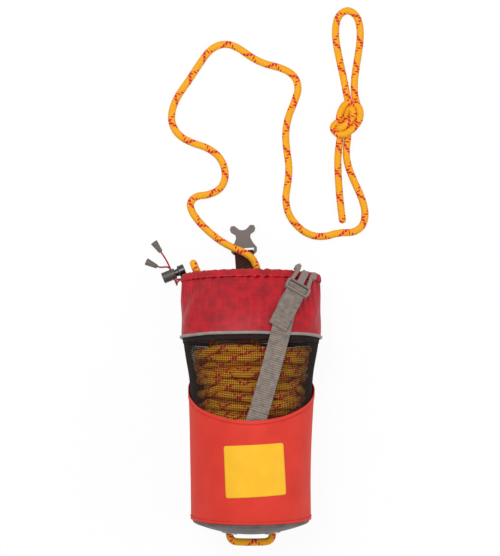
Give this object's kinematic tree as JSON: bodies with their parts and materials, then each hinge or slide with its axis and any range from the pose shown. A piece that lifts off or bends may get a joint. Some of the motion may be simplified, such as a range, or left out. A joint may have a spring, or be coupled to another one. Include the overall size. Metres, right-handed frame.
{
  "type": "throw rope bag",
  "caption": "Soft rescue bag stuffed with floating rope, with a net window, drawcord throat and buckled strap; the rope's free end is tied in a loop.",
  "frame": {"origin": "on the ground under the middle of the bag's body", "axes": "+Y from the base to the mouth, +Z out of the bag's front (up, as it lies on its back), +X to the right when the mouth is at the top"},
  "size_m": [0.2974, 0.7064, 0.1519],
  "materials": {
    "coated_fabric": "grey coated fabric, matt",
    "foam": "closed-cell foam",
    "eyelet_metal": "dark plated grommet",
    "orange_fabric": "orange-red coated nylon, heavy weave",
    "yellow_print": "plain yellow printed film",
    "black_net": "black square net",
    "black_tape": "black grosgrain tape",
    "reflective_tape": "light grey reflective piping",
    "red_fabric": "red ripstop nylon, slight sheen",
    "grey_webbing": "ribbed nylon webbing",
    "dark_webbing": "dark brown nylon webbing",
    "grey_plastic": "moulded acetal, satin",
    "tip_plastic": "moulded cord end, satin",
    "lock_plastic": "moulded nylon, satin",
    "black_plastic": "moulded acetal, gloss",
    "spring_steel": "spring wire",
    "red_cord": "braided polyester cord",
    "rope_yarn": "braided floating rope, yellow with red flecks"
  },
  "bodies": {
    "bag": {"base_panel": "coated_fabric", "base_foam": "foam", "base_eyelets": "eyelet_metal", "lower_sleeve": "orange_fabric", "name_patch": "yellow_print", "mesh_wall": "black_net", "mesh_binding": "black_tape", "reflective_piping": "reflective_tape", "collar": "red_fabric", "collar_hem": "red_fabric", "drawcord": "red_cord", "drawcord_upper": "red_cord", "drawcord_lower": "red_cord", "cord_tip_upper": "tip_plastic", "cord_tip_lower": "tip_plastic", "strap_root": "grey_webbing", "buckle_tab": "dark_webbing", "rope_stowed": "rope_yarn", "rope_mouth_bight": "rope_yarn", "rope_run": "rope_yarn", "rope_knot": "rope_yarn", "rope_bight": "rope_yarn", "rope_tail": "rope_yarn", "inner_knot": "rope_yarn", "grab_loop": "rope_yarn"},
    "strap": {"closing_strap": "grey_webbing", "buckle_male": "grey_plastic"},
    "socket_buckle": {"buckle_female": "grey_plastic"},
    "cord_lock": {"cord_lock_body": "lock_plastic", "cord_lock_spring": "spring_steel"},
    "lock_plunger": {"cord_lock_plunger": "black_plastic"}
  },
  "joints": [
    {"name": "strap_lift", "type": "hinge", "parent": "bag", "child": "strap", "pos_m": [0.00978, -0.00638, 0.14423], "axis": [0.9461, -0.3001, -0.1219], "range_deg": [0, 120]},
    {"name": "socket_lift", "type": "hinge", "parent": "bag", "child": "socket_buckle", "pos_m": [-0.009, 0.197, 0.0047], "axis": [0.9976, 0.0698, 0], "range_deg": [0, 30]},
    {"name": "lock_slide", "type": "slide", "parent": "bag", "child": "cord_lock", "axis": [-0.3746, 0.9272, 0], "range_m": [0, 0.008], "deforming": ["drawcord_upper", "drawcord_lower"]},
    {"name": "plunger_press", "type": "slide", "parent": "cord_lock", "child": "lock_plunger", "axis": [-0.9272, -0.3746, 0], "range_m": [0, 0.004], "stiffness_N_per_m": 400, "springref_m": -0.006, "deforming": ["cord_lock_spring"]}
  ]
}
